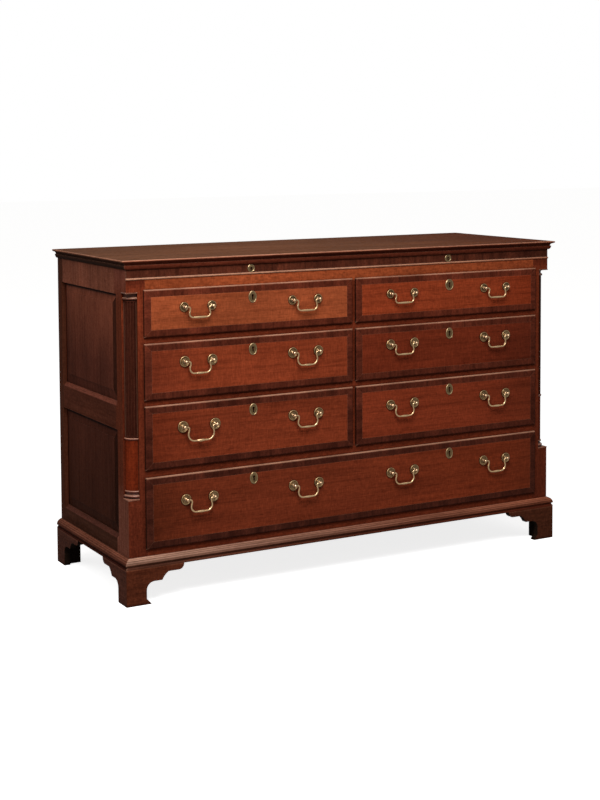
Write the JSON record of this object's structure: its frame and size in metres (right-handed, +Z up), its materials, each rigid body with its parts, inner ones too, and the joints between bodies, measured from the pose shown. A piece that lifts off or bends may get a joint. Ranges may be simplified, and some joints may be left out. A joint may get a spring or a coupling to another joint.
{
  "type": "mule chest",
  "caption": "Oak blanket chest with a hinged lid, false drawer fronts above working drawers, mahogany crossbanding, quarter columns, brass drop handles and bracket feet.",
  "frame": {"origin": "on the floor under the middle of the bounding box, which takes in the handles and the hinge knuckles", "axes": "+X to the right as seen from in front, +Y to the back, +Z up; the front looks along -Y"},
  "size_m": [1.597, 0.6108, 1.03],
  "materials": {
    "front_oak": "waxed",
    "carcass_oak": "waxed",
    "mahogany": "waxed",
    "pine": "bare, darkened by age",
    "aged_brass": "worn polish",
    "hinge_iron": "dark and dull"
  },
  "bodies": {
    "carcass": {"corner_posts": "carcass_oak", "side_rails": "mahogany", "side_panels": "carcass_oak", "corner_columns": "mahogany", "front_rails": "front_oak", "front_muntins": "front_oak", "false_fronts": "front_oak", "frieze": "mahogany", "rear_rails": "pine", "back_boards": "pine", "chest_floor": "pine", "runners_and_bearers": "pine", "base_moulding": "carcass_oak", "front_feet": "carcass_oak", "rear_feet": "carcass_oak", "upper_handle_mounts": "aged_brass", "upper_escutcheons": "aged_brass", "chest_locks": "aged_brass", "carcass_hinge_leaves": "hinge_iron"},
    "lid": {"lid_board": "carcass_oak", "lid_moulding": "carcass_oak", "lid_hinge_leaves": "hinge_iron", "lid_staples": "aged_brass"},
    "left_drawer": {"left_drawer_front": "front_oak", "left_drawer_sides": "pine", "left_drawer_back": "pine", "left_drawer_bottom": "pine", "left_drawer_handle_mounts": "aged_brass", "left_drawer_escutcheon": "aged_brass", "left_drawer_lock": "aged_brass"},
    "right_drawer": {"right_drawer_front": "front_oak", "right_drawer_sides": "pine", "right_drawer_back": "pine", "right_drawer_bottom": "pine", "right_drawer_handle_mounts": "aged_brass", "right_drawer_escutcheon": "aged_brass", "right_drawer_lock": "aged_brass"},
    "long_drawer": {"long_drawer_front": "front_oak", "long_drawer_sides": "pine", "long_drawer_back": "pine", "long_drawer_bottom": "pine", "long_drawer_handle_mounts": "aged_brass", "long_drawer_escutcheon": "aged_brass", "long_drawer_lock": "aged_brass"},
    "handle_1a": {"bail_1a": "aged_brass"},
    "handle_1b": {"bail_1b": "aged_brass"},
    "handle_1c": {"bail_1c": "aged_brass"},
    "handle_1d": {"bail_1d": "aged_brass"},
    "handle_2a": {"bail_2a": "aged_brass"},
    "handle_2b": {"bail_2b": "aged_brass"},
    "handle_2c": {"bail_2c": "aged_brass"},
    "handle_2d": {"bail_2d": "aged_brass"},
    "handle_3a": {"bail_3a": "aged_brass"},
    "handle_3b": {"bail_3b": "aged_brass"},
    "handle_3c": {"bail_3c": "aged_brass"},
    "handle_3d": {"bail_3d": "aged_brass"},
    "handle_4a": {"bail_4a": "aged_brass"},
    "handle_4b": {"bail_4b": "aged_brass"},
    "handle_4c": {"bail_4c": "aged_brass"},
    "handle_4d": {"bail_4d": "aged_brass"}
  },
  "joints": [
    {"name": "lid_hinge", "type": "hinge", "parent": "carcass", "child": "lid", "pos_m": [0, 0.3004, 1.01], "axis": [-1, 0, 0], "range_deg": [0, 95]},
    {"name": "left_drawer_slide", "type": "slide", "parent": "carcass", "child": "left_drawer", "axis": [0, -1, 0], "range_m": [0, 0.38]},
    {"name": "right_drawer_slide", "type": "slide", "parent": "carcass", "child": "right_drawer", "axis": [0, -1, 0], "range_m": [0, 0.38]},
    {"name": "long_drawer_slide", "type": "slide", "parent": "carcass", "child": "long_drawer", "axis": [0, -1, 0], "range_m": [0, 0.38]},
    {"name": "bail_1a_swing", "type": "hinge", "parent": "carcass", "child": "handle_1a", "pos_m": [-0.55075, -0.2979, 0.8835], "axis": [-1, 0, 0], "range_deg": [-18, 198]},
    {"name": "bail_1b_swing", "type": "hinge", "parent": "carcass", "child": "handle_1b", "pos_m": [-0.18075, -0.2979, 0.8835], "axis": [-1, 0, 0], "range_deg": [-18, 198]},
    {"name": "bail_1c_swing", "type": "hinge", "parent": "carcass", "child": "handle_1c", "pos_m": [0.18075, -0.2979, 0.8835], "axis": [-1, 0, 0], "range_deg": [-18, 198]},
    {"name": "bail_1d_swing", "type": "hinge", "parent": "carcass", "child": "handle_1d", "pos_m": [0.55075, -0.2979, 0.8835], "axis": [-1, 0, 0], "range_deg": [-18, 198]},
    {"name": "bail_2a_swing", "type": "hinge", "parent": "carcass", "child": "handle_2a", "pos_m": [-0.55075, -0.2979, 0.719], "axis": [-1, 0, 0], "range_deg": [-15, 195]},
    {"name": "bail_2b_swing", "type": "hinge", "parent": "carcass", "child": "handle_2b", "pos_m": [-0.18075, -0.2979, 0.719], "axis": [-1, 0, 0], "range_deg": [-15, 195]},
    {"name": "bail_2c_swing", "type": "hinge", "parent": "carcass", "child": "handle_2c", "pos_m": [0.18075, -0.2979, 0.719], "axis": [-1, 0, 0], "range_deg": [-15, 195]},
    {"name": "bail_2d_swing", "type": "hinge", "parent": "carcass", "child": "handle_2d", "pos_m": [0.55075, -0.2979, 0.719], "axis": [-1, 0, 0], "range_deg": [-15, 195]},
    {"name": "bail_3a_swing", "type": "hinge", "parent": "left_drawer", "child": "handle_3a", "pos_m": [-0.55075, -0.2994, 0.522], "axis": [-1, 0, 0], "range_deg": [-14, 194]},
    {"name": "bail_3b_swing", "type": "hinge", "parent": "left_drawer", "child": "handle_3b", "pos_m": [-0.18075, -0.2979, 0.522], "axis": [-1, 0, 0], "range_deg": [-15, 195]},
    {"name": "bail_3c_swing", "type": "hinge", "parent": "right_drawer", "child": "handle_3c", "pos_m": [0.18075, -0.2979, 0.522], "axis": [-1, 0, 0], "range_deg": [-15, 195]},
    {"name": "bail_3d_swing", "type": "hinge", "parent": "right_drawer", "child": "handle_3d", "pos_m": [0.55075, -0.2979, 0.522], "axis": [-1, 0, 0], "range_deg": [-15, 195]},
    {"name": "bail_4a_swing", "type": "hinge", "parent": "long_drawer", "child": "handle_4a", "pos_m": [-0.55075, -0.2979, 0.3], "axis": [-1, 0, 0], "range_deg": [-15, 195]},
    {"name": "bail_4b_swing", "type": "hinge", "parent": "long_drawer", "child": "handle_4b", "pos_m": [-0.18075, -0.2979, 0.3], "axis": [-1, 0, 0], "range_deg": [-15, 195]},
    {"name": "bail_4c_swing", "type": "hinge", "parent": "long_drawer", "child": "handle_4c", "pos_m": [0.18075, -0.2979, 0.3], "axis": [-1, 0, 0], "range_deg": [-15, 195]},
    {"name": "bail_4d_swing", "type": "hinge", "parent": "long_drawer", "child": "handle_4d", "pos_m": [0.55075, -0.2979, 0.3], "axis": [-1, 0, 0], "range_deg": [-15, 195]}
  ]
}
